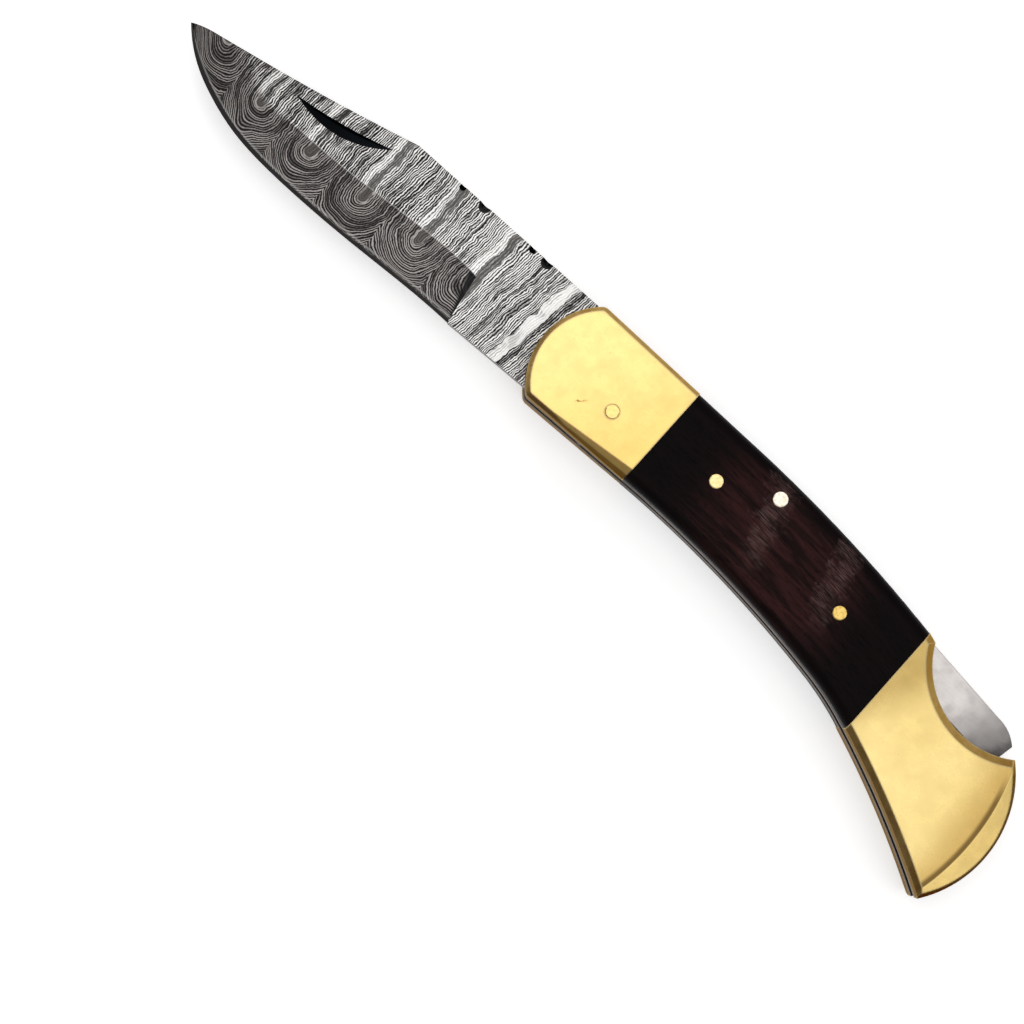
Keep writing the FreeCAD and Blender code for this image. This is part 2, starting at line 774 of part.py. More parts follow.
def make_rear_spacer():
    body = new_body("rear_spacer")
    add_pad(body, handle_outline(), "sizes.channel_width")
    add_pocket(body, "front", outside(spacer_front, butt_end + size("overrun")))
    wall = bar_end.x + size("spacer_wall_gap")
    add_pocket(body, "bar_space", rectangle(rear_joint, wall, spacer_top, size("back_height")))
    add_pocket(body, "blade_space", closed_blade_space())
    for pin in ("upper_spacer_pin", "lower_spacer_pin"):
        drill(body, pin, "fixed_clearance")
    lift(body, channel_floor)
    return body


# Pins.

def make_pin(label, name, length, height):
    pin = doc.addObject("Part::Cylinder", label)
    pin.Label = label
    pin.setExpression("Radius", f"sizes.{name}_radius")
    pin.setExpression("Height", length)
    pin.Placement = FreeCAD.Placement(PIN_PLACES[name], FreeCAD.Rotation())
    pin.setExpression("Placement.Base.z", height)
    doc.recompute()
    return pin


total = "2 * sizes.cover_thickness + 2 * sizes.liner_thickness + sizes.channel_width"
side_stack = "sizes.cover_thickness + sizes.liner_thickness"
upper_liner = side_stack + " + sizes.channel_width"
upper_cover = upper_liner + " + sizes.liner_thickness"
cover = size("cover_thickness")

pieces = [make_blade(), make_lock_bar(), make_lock_spring(), make_rear_spacer()]
pieces += [make_liner("left_liner", upper_liner), make_liner("right_liner", "sizes.cover_thickness")]
for side, height, outer, inward in (("left", upper_cover, cover, -1), ("right", "0", 0, 1)):
    pieces.append(make_front_bolster(side + "_front_bolster", height, outer, inward))
    pieces.append(make_scale(side + "_scale", height, outer))
    pieces.append(make_rear_bolster(side + "_rear_bolster", height, outer, inward))
for name in ("pivot_pin", "rocker_pin"):
    pieces.append(make_pin(name, name, total + " - 2 * sizes.pin_recess", "sizes.pin_recess"))
hidden_end = "(sizes.hidden_pin_cover + sizes.pin_recess)"
for name in HIDDEN_PINS:
    pieces.append(make_pin(name, name, total + " - 2 * " + hidden_end, hidden_end))
for name in ("front_scale_pin", "rear_scale_pin"):
    pieces.append(make_pin("left_" + name, name, side_stack + " - sizes.pin_recess", upper_liner))
    pieces.append(make_pin("right_" + name, name, side_stack + " - sizes.pin_recess", "sizes.pin_recess"))

doc.recompute()
for item in doc.Objects:
    if "Invalid" in item.State or "Error" in item.State:
        raise RuntimeError(f"{item.Label} failed: {item.State}")
for piece in pieces:
    if piece.Shape.isNull() or not piece.Shape.isValid() or len(piece.Shape.Solids) != 1:
        raise RuntimeError(f"{piece.Label} is not one valid solid")

os.makedirs("parts", exist_ok=True)
for piece in pieces:
    piece.Shape.exportStep(f"parts/{piece.Label}.step")
    print(piece.Label, round(piece.Shape.Volume, 1))
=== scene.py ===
import math

import bmesh
import bpy
from mathutils import Matrix, Vector


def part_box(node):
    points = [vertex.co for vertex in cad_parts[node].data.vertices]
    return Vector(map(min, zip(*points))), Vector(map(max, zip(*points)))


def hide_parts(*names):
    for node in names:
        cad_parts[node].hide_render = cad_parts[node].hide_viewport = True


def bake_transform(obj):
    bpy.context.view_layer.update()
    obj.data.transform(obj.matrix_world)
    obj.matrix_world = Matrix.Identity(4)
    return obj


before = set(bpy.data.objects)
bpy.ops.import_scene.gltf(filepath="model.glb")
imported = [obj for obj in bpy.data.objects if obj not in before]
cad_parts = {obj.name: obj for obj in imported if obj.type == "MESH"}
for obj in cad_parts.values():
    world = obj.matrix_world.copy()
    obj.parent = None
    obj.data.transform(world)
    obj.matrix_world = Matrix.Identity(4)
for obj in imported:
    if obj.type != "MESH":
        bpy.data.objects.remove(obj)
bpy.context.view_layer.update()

# Lengths are metres in the part's own frame: the origin is on the blade's pivot axis, +X runs to the butt,
# +Y to the back of the handle and +Z to the side with the nail nick.
MM = 0.001
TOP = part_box("left_front_bolster")[1].z

# The lock spring: cuts along its length, and the gap closed between the solid's faces.
SPRING_STEPS = 16
SPRING_WELD = 0.001 * MM

# Heights of the fine relief, and the radii to which edges are rounded. Rubbed wear with a painted highlight
# shows where the rounded normal leaves the face's own, between these cosines of the angle.
LAYER_RELIEF = 0.02 * MM
BRASS_RELIEF = 0.015 * MM
WOOD_RELIEF = 0.04 * MM
STEEL_RELIEF = 0.015 * MM
PIN_RELIEF = 0.05 * MM
BRASS_EDGE = 0.6 * MM
STEEL_EDGE = 0.25 * MM
WEAR_AND_HIGHLIGHT_COSINES = (0.995, 0.94)

# The photograph's frame: the pixel of the pivot, the pixels per metre at the bolsters' faces and the handle's
# slope across the picture. The eye stands above those faces and a little off to the belly's side.
IMAGE_PIXELS = 1024
PIVOT_PIXEL = (612.5, 411.5)
PIXELS_PER_METRE = 5320
HANDLE_SLOPE = math.radians(42)
CAMERA_HEIGHT = 0.6
CAMERA_ASIDE = 0.0423
SENSOR = 0.036

# The stage: how far the floor reaches from the pivot, its tone and glow, the surround's tones at the horizon
# and overhead, and the square lights with their power in watts.
FLOOR_REACH = 20.0
FLOOR_TONE = (0.9, 0.9, 0.9)
FLOOR_GLOW = 0.45
WHITE = (1.0, 1.0, 1.0)
HORIZON_TONE = (0.42, 0.41, 0.4)
OVERHEAD_TONE = (0.62, 0.62, 0.62)
LIGHTS = {
    "softbox": {"place": (0, -0.02, 0.9), "target": (0, -0.02, 0), "size": 0.6, "power": 1.1},
    "side": {"place": (-0.5, 0.5, 0.5), "target": (0, 0, 0), "size": 0.4, "power": 1},
    "butt_side": {"place": (0.53, 0, 0.72), "target": (0.1, 0, 0), "size": 0.45, "power": 0.56},
}

# The materials measure in millimetres, from the pivot along X and Y. From the frame they take the height of
# the near faces, the rear ends of the rear bolster and the lock bar, and the blade's middle plane and half
# its thickness. A mark on a near face fades out between the two depths under it.
FRONT_FACE = TOP / MM
SCALE_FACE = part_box("left_scale")[1].z / MM
BUTT_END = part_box("left_rear_bolster")[1].x / MM
BAR_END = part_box("lock_bar")[1].x / MM
BLADE_LOW, BLADE_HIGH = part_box("blade")
BLADE_MIDDLE = (BLADE_LOW.z + BLADE_HIGH.z) / 2 / MM
BLADE_HALF = (BLADE_HIGH.z - BLADE_LOW.z) / 2 / MM
MARK_DEPTHS = (0.8, 0.2)

# The blade's layers: broad bands, the rungs, of which one is RUNG_START before the pivot, and fine lines
# between them. They lean more towards the handle and sway, by a width for each scale of noise. The bevel
# cuts them into bows: past RUNG_DEPTH under the flat, depth adds to the distance, times a stretch.
RUNG_START = 49.3
RUNG_PITCH = 13.2
RUNG_DEPTH = 0.25
BOW_STRETCHES = (6.5, 9.5)
LAYER_PITCH = 0.43
LAYER_SWAYS = ((0.13, 1.8), (0.45, 0.7), (1.2, 0.45))
LEAN_PLACES = (-52.0, -20.0)
LEAN_SHARES = (0.02, 0.13)
# Seeds that give each rung its own lines, and how fast the lines change across the blade.
RUNG_SEED_STEP = 5.3
STRENGTH_SEED = 40.0
UNEVEN_DRIFT_SHARE = 0.05
STRENGTH_DRIFT_SHARE = 0.25
# The bands: half widths, the soft edges of a band, its margin and its ring, and the widths of the margin on
# the two sides. Rungs count up to the handle from 0 at RUNG_START: low ones are faint and high ones bright.
BAND_GIRTHS = (0.6, 1.0)
BRIGHT_BAND_GAIN = 0.35
BAND_BLUR = (0.12, -0.05)
MARGIN_BLUR = (0.1, -0.15)
MARGIN_SIDES = (0.4, -0.4)
MARGIN_WIDTHS = (0.3, 1.5)
RING_BLUR = (0.5, 0.35)
BRIGHT_FROM_RUNG = 1.5
FAINT_RUNGS = (-1.8, -1.2)
# Where the flat grows lighter, fades into the bevel at the tip, and meets the bevel in a painted highlight
# line;
# where the painted shade at the bevel's heel begins, on a line that leans; and where the sharp edge, painted
# dark as shade, begins under a thin painted highlight.
LIGHT_PLACES = (-62.0, -38.0)
TIP_PLACES = (-88.0, -100.0)
BEVEL_DEPTH = 0.012
BEVEL_BLUR_PLACES = (-78.0, -92.0)
BEVEL_BLURS = (0.03, 0.3)
GRIND_DEPTHS = (0.004, 0.012, 0.02, 0.045)
GRIND_PLACES = (-86.0, -76.0)
HEEL_LEAN_SHARE = 0.34
HEEL_SHADE_PLACES = (-37.7, -36.9)
RIM_DEPTHS = (1.035, 1.06)
ABOVE_EDGE_DEPTHS = (1.1, 1.08)
EDGE_PLACES = (-88.0, -55.0)
EDGE_DEPTHS = (1.09, 1.2)
EDGE_BLUR = (-0.01, 0.01)

# The brass: how far before the butt's end its rim of painted shade begins, the drift of painted shading from
# pale to deep on the front bolster, and the scratch there, a line that climbs with X from SCRATCH_HEIGHT at
# the pivot.
BUTT_RIM_SHADE_STARTS = (8.0, 6.0)
FRONT_SHADE_DRIFT = (-18.0, 14.0)
FRONT_SHADE_DRIFT_SHARE = 0.8
FRONT_CLOUDS = 10.0
SCRATCH_HEIGHT = 2.75
SCRATCH_CLIMB_SHARE = 0.9
SCRATCH_CROOK = 1.5
SCRATCH_WIDTHS = (0.3, 0.1)
SCRATCH_PLACES = (-6.7, -6.2, -6.0, -4.4)
# The butt's bevel: its width, the radius of its inner arc and how far the arc's middle lies below the pivot.
# From the arc are measured its soft line, the painted shade and the painted dark crease before it, and the
# bevel's deeper tone.
FACET_WIDTH = 4.3
FACET_RADIUS = 47.6
FACET_DROP = 16.5
ARC_BLUR = (0.15, -0.1)
DUSK_REACH = (-9.0, -0.5)
DUSK_CLOUDS = 2.0
CREASE_REACH = (-1.4, -0.5)
CREASE_HEIGHTS = (0.0, -7.0)
FACET_BLUR = (0.0, 0.3)
# The rear bolster's painted brown shade at the neck beside the scale: the climb of its soft border, and where
# that crosses Y = 0.
NECK_CLIMB = 2.1
NECK_PLACES = (82.667, 74.571)

# The wood: its grain droops behind DROOP_START, painted shade darkens its ends and long edges so that its red
# middle shows as a painted sheen, and two painted gloss streaks lie across it.
DROOP_START = 10.0
DROOP_RATE = 0.0012
RED_PLACES = (15.0, 34.0, 48.0, 67.0)
RED_HEIGHTS = (-9.5, -4.0, 9.5, 13.5)
GLOSS_STREAK_PLACES = ((33.0, 36.0, 37.0, 40.5), (50.5, 53.0, 54.0, 57.5))
GLOSS_STREAK_LEAN_SHARE = 0.25
GLOSS_STREAK_RAGGED = 9.0
GLOSS_STREAK_HEIGHTS = (-7.0, 1.0)

# The lock bar's darker stretch and dark smudge, from its end, and the liners' dark front.
BAR_DARKER_REACH = (-17.0, -4.0)
BAR_SMUDGE_REACH = (-5.0, -2.0)
BAR_LEAN_SHARE = 0.5
BAR_BLOTCH = 2.5
LINER_PLACES = (13.0, 20.0)

# Factors on X, Y and Z that draw noise out into lines where they are below 1, and squeeze it above 1.
GRAIN_STRETCH = (3.0, 1.0, 1.0)
BRASS_STRETCH = (0.5, 6.0, 6.0)
GROWTH_STRETCH = (0.09, 1.0, 1.0)
FIBRE_STRETCH = (0.22, 4.0, 4.0)
PORE_STRETCH = (2.2, 1.1, 1.1)
STEEL_STRETCH = (0.3, 7.0, 7.0)

# The line round a pin's rim, as shares of its diameter from the middle, and the pins' materials: two tones
# and the strength of that line.
RIM_SHARES = (0.42, 0.47)
PIN_RIM = (0.06, 0.03, 0.01)
PIN_LOOKS = {
    "pivot_brass": ((0.87, 0.65, 0.24), (0.8, 0.55, 0.18), 0.75),
    "rocker_pin_metal": ((0.85, 0.78, 0.66), (0.6, 0.44, 0.26), 0.5),
    "pin_brass": ((0.85, 0.68, 0.34), (0.72, 0.5, 0.19), 0.6),
    "dull_pin_brass": ((0.68, 0.48, 0.14), (0.4, 0.26, 0.06), 0.6),
}

# The blade's colours. The tones of the flat and the bevel run from the dark lines to the bright ones.
DARK_LAYER_AND_SHADE = (0.012, 0.012, 0.013)
BRIGHT_LAYER = (0.8, 0.79, 0.77)
FLAT_TONES = (
    (0.18, DARK_LAYER_AND_SHADE),
    (0.4, (0.06, 0.057, 0.056)),
    (0.62, (0.36, 0.345, 0.335)),
    (0.9, BRIGHT_LAYER),
)
BEVEL_TONES = (
    (0.12, (0.012, 0.011, 0.011)),
    (0.42, (0.06, 0.054, 0.052)),
    (0.68, (0.155, 0.142, 0.138)),
    (0.95, (0.34, 0.315, 0.3)),
)
DARK_BAND = (0.1, 0.095, 0.09)
BRIGHT_BAND = (0.78, 0.77, 0.75)
BEVEL_BAND = (0.075, 0.068, 0.064)
BEVEL_RING = (0.36, 0.335, 0.32)
GRIND_HIGHLIGHT = (0.5, 0.48, 0.46)
EDGE_RIM_HIGHLIGHT = (0.32, 0.31, 0.3)
SHARP_EDGE_SHADE = (0.04, 0.037, 0.037)
HOLLOW_SHADE = (0.004, 0.005, 0.006)

# The brass colours.
BRASS_WALL_SHADE = (0.2, 0.115, 0.035)
BRASS_RUBBED_AND_HIGHLIGHT = (1.0, 0.86, 0.5)
BRASS_PIT = (0.25, 0.13, 0.03)
BRASS_UNDER_SHADE = (0.05, 0.026, 0.009)
BRASS_GRAZING = (0.5, 0.38, 0.2)
BUTT_RIM_SHADE = (0.03, 0.017, 0.007)
FRONT_PALE = (0.9, 0.68, 0.265)
FRONT_DEEP = (0.8, 0.545, 0.175)
FRONT_SCRATCH = (0.2, 0.11, 0.03)
FRONT_TARNISH_AND_SHADE = (0.27, 0.145, 0.038)
REAR_PALE = (0.765, 0.595, 0.25)
REAR_DEEP = (0.725, 0.55, 0.215)
REAR_DUSK_SHADE = (0.42, 0.25, 0.06)
REAR_CREASE_SHADE = (0.1, 0.055, 0.015)
REAR_NECK_SHADE = (0.34, 0.22, 0.06)
REAR_FACET = (0.68, 0.47, 0.15)
REAR_TARNISH_AND_SHADE = (0.27, 0.15, 0.036)

# The wood's colours.
WOOD_DARK = (0.008, 0.0035, 0.0035)
WOOD_RED = (0.034, 0.0105, 0.0105)
WOOD_FIBRE = (0.06, 0.021, 0.019)
WOOD_ENDS_SHADE = (0.0032, 0.0022, 0.0025)
WOOD_PORE = (0.0025, 0.0015, 0.0015)
WOOD_GLOSS_STREAK = (0.13, 0.078, 0.072)

# The steel and liner colours.
STEEL_RUBBED_AND_HIGHLIGHT = (0.85, 0.84, 0.82)
STEEL_GRAZING = (0.5, 0.47, 0.45)
BAR_BRIGHT = (0.6, 0.565, 0.545)
BAR_DARKER = (0.2, 0.187, 0.182)
BAR_SMUDGE = (0.06, 0.057, 0.056)
BAR_SHADE = (0.3, 0.29, 0.28)
SPACER_BASE = (0.5, 0.5, 0.49)
SPACER_SHADE = (0.3, 0.3, 0.3)
SPRING_BASE = (0.4, 0.41, 0.44)
SPRING_SHADE = (0.2, 0.2, 0.24)
LINER_FRONT = (0.05, 0.028, 0.016)
LINER_EDGE = (0.3, 0.25, 0.22)
LINER_FACE_SHADE = (0.02, 0.017, 0.015)
LINER_SHADE = (0.1, 0.08, 0.07)


# Helpers for shader nodes.

class Shader:
    """A node material with short calls for the nodes that it needs."""

    # The numbers of a Mix node's sockets that serve colours.
    MIX_FACTOR = 0
    MIX_BASE = 6
    MIX_TONE = 7
    MIX_RESULT = 2

    def __init__(self, name):
        self.material = bpy.data.materials.new(name)
        self.material.use_nodes = True
        self.tree = self.material.node_tree
        self.tree.nodes.clear()
        self.output = self.tree.nodes.new("ShaderNodeOutputMaterial")

    def put(self, socket, value):
        """Links an input to another node's output, or sets its value."""
        if isinstance(value, bpy.types.NodeSocket):
            self.tree.links.new(value, socket)
        elif socket.type == "RGBA":
            socket.default_value = (*value, 1)
        else:
            socket.default_value = value

    def add(self, kind, inputs=None, **settings):
        made = self.tree.nodes.new(kind)
        for key, value in settings.items():
            setattr(made, key, value)
        for key, value in (inputs or {}).items():
            self.put(made.inputs[key], value)
        return made

    def math(self, operation, *values, clamp=False):
        inputs = dict(enumerate(values))
        return self.add("ShaderNodeMath", inputs, operation=operation, use_clamp=clamp).outputs[0]

    def minus(self, first, second):
        return self.math("SUBTRACT", first, second)

    def product(self, *factors):
        result = factors[0]
        for factor in factors[1:]:
            result = self.math("MULTIPLY", result, factor)
        return result

    def shift(self, base, value, amount):
        """The base plus an amount of the value."""
        return self.math("MULTIPLY_ADD", value, amount, base)

    def vector_math(self, operation, *values):
        return self.add("ShaderNodeVectorMath", dict(enumerate(values)), operation=operation).outputs

    def scaled(self, vector, factors):
        return self.vector_math("MULTIPLY", vector, factors)["Vector"]

    def length(self, vector):
        return self.vector_math("LENGTH", vector)["Value"]

    def split(self, vector):
        return self.add("ShaderNodeSeparateXYZ", {0: vector}).outputs

    def join(self, x, y, z):
        return self.add("ShaderNodeCombineXYZ", {0: x, 1: y, 2: z}).outputs[0]

    def place(self, kind):
        return self.add("ShaderNodeTexCoord").outputs[kind]

    def millimetres(self):
        """The place on the part in millimetres, as a vector."""
        return self.scaled(self.place("Object"), (1 / MM, 1 / MM, 1 / MM))

    def normal(self, kind):
        return self.add("ShaderNodeNewGeometry").outputs[kind]

    def turn_local(self, normal):
        """A normal turned into the part's own axes."""
        turn = self.add("ShaderNodeVectorTransform", {0: normal}, vector_type="NORMAL",
                        convert_from="WORLD", convert_to="OBJECT")
        return turn.outputs[0]

    def levelness(self):
        """1 on faces that lie flat, down to 0 on upright ones."""
        return self.math("ABSOLUTE", self.split(self.turn_local(self.normal("True Normal")))[2])

    def noise(self, vector, scale, detail=2.0, roughness=0.5, distortion=0.0):
        inputs = {"Vector": vector, "Scale": scale, "Detail": detail, "Roughness": roughness,
                  "Distortion": distortion}
        return self.add("ShaderNodeTexNoise", inputs).outputs["Fac"]

    def sway(self, vector, scale, detail=2.0, roughness=0.5):
        """Noise that swings about zero."""
        return self.minus(self.noise(vector, scale, detail, roughness), 0.5)

    def spread(self, value, low, high, onto=(0.0, 1.0)):
        """Maps low to high onto a range, clamped and smooth."""
        inputs = {"Value": value, "From Min": low, "From Max": high, "To Min": onto[0], "To Max": onto[1]}
        return self.add("ShaderNodeMapRange", inputs, interpolation_type="SMOOTHSTEP").outputs["Result"]

    def within(self, value, places):
        """1 between the two inner places, and 0 outside the two outer ones."""
        start, full, fade, end = places
        return self.product(self.spread(value, start, full), self.spread(value, end, fade))

    def on_face(self, z, face):
        """1 at a near face, and 0 deeper than a mark on it goes."""
        return self.spread(z, *(face - depth for depth in MARK_DEPTHS))

    def tint(self, base, tone, factor, most=1.0):
        """The base colour turned towards a tone by the factor, and by no more than the most."""
        made = self.add("ShaderNodeMix", data_type="RGBA")
        factor = factor if most == 1.0 else self.product(factor, most)
        for socket, value in ((self.MIX_FACTOR, factor), (self.MIX_BASE, base), (self.MIX_TONE, tone)):
            self.put(made.inputs[socket], value)
        return made.outputs[self.MIX_RESULT]

    def ramp(self, value, stops):
        """A colour that runs through the stops, each a place and a colour."""
        made = self.add("ShaderNodeValToRGB", {0: value})
        elements = made.color_ramp.elements
        while len(elements) < len(stops):
            elements.new(1.0)
        for element, (place, colour) in zip(elements, stops):
            element.position = place
            element.color = (*colour, 1)
        return made.outputs["Color"]

    def rounded_edges(self, radius):
        """A normal that rounds the edges over, and how near an edge the point is, from 0 to 1."""
        soft = self.add("ShaderNodeBevel", {"Radius": radius}, samples=6).outputs[0]
        turn = self.vector_math("DOT_PRODUCT", soft, self.normal("Normal"))["Value"]
        return soft, self.spread(turn, *WEAR_AND_HIGHLIGHT_COSINES)

    def bump(self, height, distance, strength, normal=None):
        inputs = {"Height": height, "Distance": distance, "Strength": strength}
        if normal:
            inputs["Normal"] = normal
        return self.add("ShaderNodeBump", inputs).outputs["Normal"]

    def finish(self, **inputs):
        """The principled surface: names use _ for the spaces in the socket's own name."""
        shader = self.add("ShaderNodeBsdfPrincipled")
        for key, value in inputs.items():
            self.put(shader.inputs[key.replace("_", " ")], value)
        self.put(self.output.inputs["Surface"], shader.outputs[0])
        return self.material


# Materials.

def nearest_rung(s, point, depth):
    """The nearest rung's number, and the way to it: along the blade, and in the plane of length and depth."""
    x, y = s.split(point)[:2]
    lean = s.product(y, s.spread(x, *LEAN_PLACES, onto=LEAN_SHARES))
    along = s.minus(x, lean)
    for scale, width in LAYER_SWAYS:
        along = s.shift(along, s.sway(point, scale), width)
    place = s.math("DIVIDE", s.math("ADD", along, RUNG_START), RUNG_PITCH)
    rung = s.math("ROUND", place)
    offset = s.product(s.minus(place, rung), RUNG_PITCH)
    stretch = s.spread(s.noise(point, scale=0.1, detail=1.0), 0.3, 0.7, onto=BOW_STRETCHES)
    below = s.product(s.math("MAXIMUM", s.minus(depth, RUNG_DEPTH), 0.0), stretch)
    return rung, offset, s.length(s.join(offset, below, 0.0))


def layer_lines(s, point, rung, distance):
    """Lines of uneven thickness and brightness along the distance from a rung, and the grain in them."""
    y = s.split(point)[1]
    layer = s.math("DIVIDE", distance, LAYER_PITCH)
    seed = s.product(rung, RUNG_SEED_STEP)
    uneven = s.noise(s.join(layer, seed, s.product(y, UNEVEN_DRIFT_SHARE)), scale=0.45)
    strength_point = s.join(layer, s.math("ADD", seed, STRENGTH_SEED), s.product(y, STRENGTH_DRIFT_SHARE))
    strength = s.noise(strength_point, scale=0.6)
    phase = s.product(s.shift(layer, uneven, 1.3), math.tau)
    stripe = s.shift(0.5, s.math("SINE", phase), 0.5)
    stripe = s.product(stripe, s.spread(strength, 0.3, 0.6, onto=(0.45, 1.05)))
    grain = s.sway(s.scaled(point, GRAIN_STRETCH), scale=1.6, detail=3.0)
    return s.shift(stripe, grain, 0.7), grain


def rung_bands(s, point, rung, offset, distance):
    """The rungs that are bright, and the band on each rung, the margin beside it and the ring round it."""
    bright = s.math("GREATER_THAN", rung, BRIGHT_FROM_RUNG)
    girth = s.spread(s.noise(point, scale=0.25), 0.35, 0.65, onto=BAND_GIRTHS)
    past_band = s.minus(distance, s.shift(girth, bright, BRIGHT_BAND_GAIN))
    band = s.spread(past_band, *BAND_BLUR)
    # The margin is wide on the tip's side of a dark band and on the handle's side of a bright one.
    side = s.product(offset, s.shift(1.0, bright, -2.0))
    width = s.spread(side, *MARGIN_SIDES, onto=MARGIN_WIDTHS)
    margin = s.minus(s.spread(s.minus(past_band, width), *MARGIN_BLUR), band)
    ring = s.minus(s.spread(past_band, *RING_BLUR), band)
    return bright, band, margin, ring


def damascus_steel():
    """Layered steel: lines across the blade, bent into nested bows where the bevel cuts the layers."""
    s = Shader("damascus_steel")
    point = s.millimetres()
    x, y, z = s.split(point)
    depth = s.minus(BLADE_HALF, s.math("ABSOLUTE", s.minus(z, BLADE_MIDDLE)))
    level = s.levelness()
    not_upright = s.spread(level, 0.02, 0.08)
    rung, offset, distance = nearest_rung(s, point, depth)
    stripe, grain = layer_lines(s, point, rung, distance)
    bright, band, margin, ring = rung_bands(s, point, rung, offset, distance)
    patchy = s.spread(s.noise(point, scale=0.5), 0.36, 0.58, onto=(0.2, 1.0))
    # The flat: dark bands in light margins, faint towards the tip, and bright ones in dark margins.
    lift = s.product(margin, s.shift(0.38, bright, -0.7))
    lift = s.math("ADD", lift, s.spread(x, *LIGHT_PLACES, onto=(0.0, 0.15)))
    flat = s.ramp(s.math("ADD", stripe, lift), FLAT_TONES)
    shown = s.product(band, s.spread(rung, *FAINT_RUNGS, onto=(0.3, 1.0)))
    shown = s.product(shown, s.spread(patchy, 0.2, 0.7, onto=(0.6, 0.95)))
    band_tone = s.tint(DARK_BAND, BRIGHT_BAND, bright)
    band_tone = s.tint(band_tone, flat, s.shift(0.1, grain, 0.8))
    flat = s.tint(flat, band_tone, shown)
    # The bevel: dark bands in light rings, with painted shade at its heel. The flat takes its tone towards
    # the tip.
    bevel = s.ramp(stripe, BEVEL_TONES)
    bevel = s.tint(bevel, BEVEL_RING, s.product(ring, patchy))
    bevel = s.tint(bevel, BEVEL_BAND, band, most=0.85)
    heel_shade = s.spread(s.shift(x, y, HEEL_LEAN_SHARE), *HEEL_SHADE_PLACES)
    bevel = s.tint(bevel, DARK_LAYER_AND_SHADE, s.product(heel_shade, not_upright), most=0.97)
    flat = s.tint(flat, bevel, s.spread(x, *TIP_PLACES), most=0.9)
    on_bevel = s.spread(depth, BEVEL_DEPTH, s.spread(x, *BEVEL_BLUR_PLACES, onto=BEVEL_BLURS))
    colour = s.tint(flat, bevel, on_bevel)
    # A painted highlight line where the flat meets the bevel, and painted shade on the sharpened edge under a
    # thin painted highlight.
    grind_highlight = s.product(s.within(depth, GRIND_DEPTHS), s.spread(x, *GRIND_PLACES))
    colour = s.tint(colour, GRIND_HIGHLIGHT, grind_highlight, most=0.35)
    above_edge = s.spread(depth, *ABOVE_EDGE_DEPTHS)
    rim = s.product(s.spread(depth, *RIM_DEPTHS), above_edge, not_upright)
    colour = s.tint(colour, EDGE_RIM_HIGHLIGHT, rim, most=0.5)
    # Painted shade on the sharp edge.
    past_edge = s.minus(depth, s.spread(x, *EDGE_PLACES, onto=EDGE_DEPTHS))
    colour = s.tint(colour, SHARP_EDGE_SHADE, s.product(s.spread(past_edge, *EDGE_BLUR), not_upright))
    # Painted shade in the hollows: the nick, the notches and the plunge.
    hollow_shade = s.product(s.spread(level, 0.985, 0.97), not_upright, above_edge)
    colour = s.tint(colour, HOLLOW_SHADE, hollow_shade)
    roughness = s.shift(0.4, stripe, -0.08)
    normal = s.bump(s.product(stripe, s.minus(1.0, hollow_shade)), LAYER_RELIEF, strength=0.5)
    return s.finish(Base_Color=colour, Metallic=1.0, Roughness=roughness, Normal=normal)


def brass_surface(s, colour, tarnish_and_shade):
    """Buffed brass: fine lines, pits and tarnish, painted shade on steep faces, upright walls, the belly side
    and the butt's rim, and rubbed edges with a painted highlight.
    """
    point = s.millimetres()
    haze = s.noise(point, scale=0.3, detail=4.0, roughness=0.6)
    lines = s.noise(s.scaled(point, BRASS_STRETCH), scale=1.5)
    speckle = s.noise(point, scale=4.0, detail=3.0, roughness=0.7)
    pits = s.spread(s.noise(point, scale=1.9, detail=1.0), 0.78, 0.81)
    colour = s.tint(colour, tarnish_and_shade, s.spread(haze, 0.5, 0.85), most=0.05)
    colour = s.tint(colour, tarnish_and_shade, s.spread(speckle, 0.45, 0.8), most=0.1)
    level = s.levelness()
    # Painted shade: steep faces take the tarnish colour, and upright walls a darker brown.
    steep_shade = s.product(s.spread(level, 0.93, 0.78), s.spread(haze, 0.3, 0.7, onto=(0.95, 0.7)))
    colour = s.tint(colour, tarnish_and_shade, steep_shade)
    colour = s.tint(colour, BRASS_WALL_SHADE, s.spread(level, 0.4, 0.2), most=0.7)
    # Edges lighter where rubbed, with a painted highlight along them.
    soft_normal, wear_and_highlight = s.rounded_edges(BRASS_EDGE)
    colour = s.tint(colour, BRASS_RUBBED_AND_HIGHLIGHT, wear_and_highlight, most=0.6)
    colour = s.tint(colour, BRASS_PIT, pits, most=0.5)
    # Painted shade where the metal turns down to the belly and round the butt, but not on upright walls.
    facing = s.split(s.turn_local(soft_normal))
    not_upright = s.spread(level, 0.1, 0.35)
    under_shade = s.product(s.spread(facing[1], -0.25, -0.85), not_upright)
    colour = s.tint(colour, BRASS_UNDER_SHADE, under_shade, most=0.85)
    at_butt = s.spread(s.split(point)[0], *(BUTT_END - start for start in BUTT_RIM_SHADE_STARTS))
    rim = s.product(s.spread(facing[0], 0.3, 0.42), at_butt, not_upright)
    colour = s.tint(colour, BUTT_RIM_SHADE, rim, most=0.95)
    roughness = s.shift(s.spread(haze, 0.3, 0.7, onto=(0.22, 0.3)), lines, 0.06)
    roughness = s.shift(roughness, wear_and_highlight, 0.35)
    height = s.minus(s.product(lines, 0.3), pits)
    normal = s.bump(height, BRASS_RELIEF, strength=0.4, normal=soft_normal)
    return s.finish(Base_Color=colour, Metallic=1.0, Roughness=roughness, Normal=normal,
                    Specular_Tint=BRASS_GRAZING)


